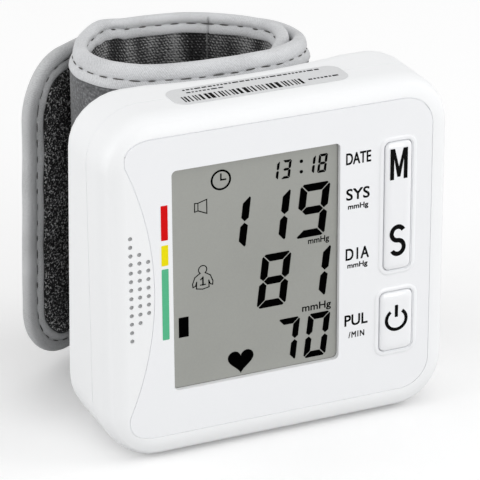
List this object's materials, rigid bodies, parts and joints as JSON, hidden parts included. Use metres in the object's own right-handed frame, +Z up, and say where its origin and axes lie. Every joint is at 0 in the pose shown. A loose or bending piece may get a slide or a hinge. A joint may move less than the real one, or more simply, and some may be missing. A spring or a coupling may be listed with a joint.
{
  "type": "wrist blood pressure monitor",
  "caption": "Wrist blood pressure monitor: flat square case with display, keys and speaker grille in front, and a wound fabric cuff with a free tail on its saddle back.",
  "frame": {"origin": "centre of the flat base on which the case stands, at mid width and mid depth of the flat", "axes": "+Z up, -Y the way the display faces, +X to the right seen from the front"},
  "size_m": [0.0749, 0.0596, 0.0712],
  "materials": {
    "white_plastic": "satin white moulded ABS",
    "key_plastic": "glossy white moulded key",
    "clear_window": "clear polished acrylic",
    "lcd": "grey reflective liquid crystal panel",
    "steel": "plated steel",
    "black_plastic": "black moulded plastic",
    "dark_rubber": "dark elastomer",
    "pale_rubber": "pale silicone rubber",
    "circuit_board": "green solder mask on laminate",
    "cell_wrap": "plain wrapped cell",
    "clear_sheet": "translucent bent plastic sheet",
    "grey_cloth": "mid-grey brushed loop fabric",
    "lining_cloth": "dark grey knitted lining",
    "binding_tape": "light grey twill tape with running stitch",
    "hook_pile": "black hook tape"
  },
  "bodies": {
    "monitor": {"front_shell": "white_plastic", "rear_shell": "white_plastic", "face_plate": "white_plastic", "lcd_holder": "white_plastic", "air_manifold": "white_plastic", "cuff_inlet": "white_plastic", "cuff_stud_1": "white_plastic", "cuff_stud_2": "white_plastic", "display_window": "clear_window", "lcd_panel": "lcd", "case_screw_1": "steel", "case_screw_2": "steel", "case_screw_3": "steel", "case_screw_4": "steel", "board_screw_1": "steel", "board_screw_2": "steel", "board_screw_3": "steel", "speaker_magnet": "steel", "contact_bridge": "steel", "contact_plus": "steel", "contact_minus": "steel", "contact_spring_outer": "steel", "contact_spring_inner": "steel", "pump_motor": "steel", "memory_switch": "black_plastic", "set_switch": "black_plastic", "power_switch": "black_plastic", "speaker_frame": "black_plastic", "pump_head": "black_plastic", "exhaust_valve": "black_plastic", "pressure_sensor": "black_plastic", "speaker_cone": "dark_rubber", "pump_diaphragm": "dark_rubber", "cuff_bladder": "dark_rubber", "zebra_strip_1": "pale_rubber", "zebra_strip_2": "pale_rubber", "pump_hose": "pale_rubber", "valve_hose": "pale_rubber", "sensor_hose": "pale_rubber", "cuff_hose": "pale_rubber", "main_board": "circuit_board", "battery_cell_outer": "cell_wrap", "battery_cell_inner": "cell_wrap", "cuff_stiffener": "clear_sheet", "cuff_outer_cloth": "grey_cloth", "cuff_inner_cloth": "lining_cloth", "cuff_upper_binding": "binding_tape", "cuff_lower_binding": "binding_tape"},
    "rocker_key": {"memory_set_key": "key_plastic"},
    "power_button": {"power_key": "key_plastic"},
    "door": {"battery_door": "white_plastic"},
    "cuff_tail": {"tail_cloth": "grey_cloth", "tail_hook_patch": "hook_pile", "tail_binding": "binding_tape"},
    "pump_crank": {"pump_rotor": "steel"},
    "valve_core": {"valve_plunger": "steel"}
  },
  "joints": [
    {"name": "rocker_tilt", "type": "hinge", "parent": "monitor", "child": "rocker_key", "pos_m": [0.02445, -0.00848, 0.04465], "axis": [1, 0, 0], "range_deg": [-2, 2], "stiffness_Nm_per_rad": 0.02},
    {"name": "power_press", "type": "slide", "parent": "monitor", "child": "power_button", "axis": [0, 1, 0], "range_m": [0, 0.0005], "stiffness_N_per_m": 300},
    {"name": "door_pull", "type": "slide", "parent": "monitor", "child": "door", "axis": [1, 0, 0], "range_m": [0, 0.02]},
    {"name": "tail_peel", "type": "hinge", "parent": "monitor", "child": "cuff_tail", "pos_m": [-0.02018, 0.04357, 0.037], "axis": [0, 0, -1], "range_deg": [0, 60]},
    {"name": "pump_spin", "type": "hinge", "parent": "monitor", "child": "pump_crank", "pos_m": [-0.0262, 0.00322, 0.03], "axis": [0, 0, 1], "continuous": true},
    {"name": "valve_open", "type": "slide", "parent": "monitor", "child": "valve_core", "axis": [0, 0, -1], "range_m": [0, 0.0006], "stiffness_N_per_m": 150}
  ]
}
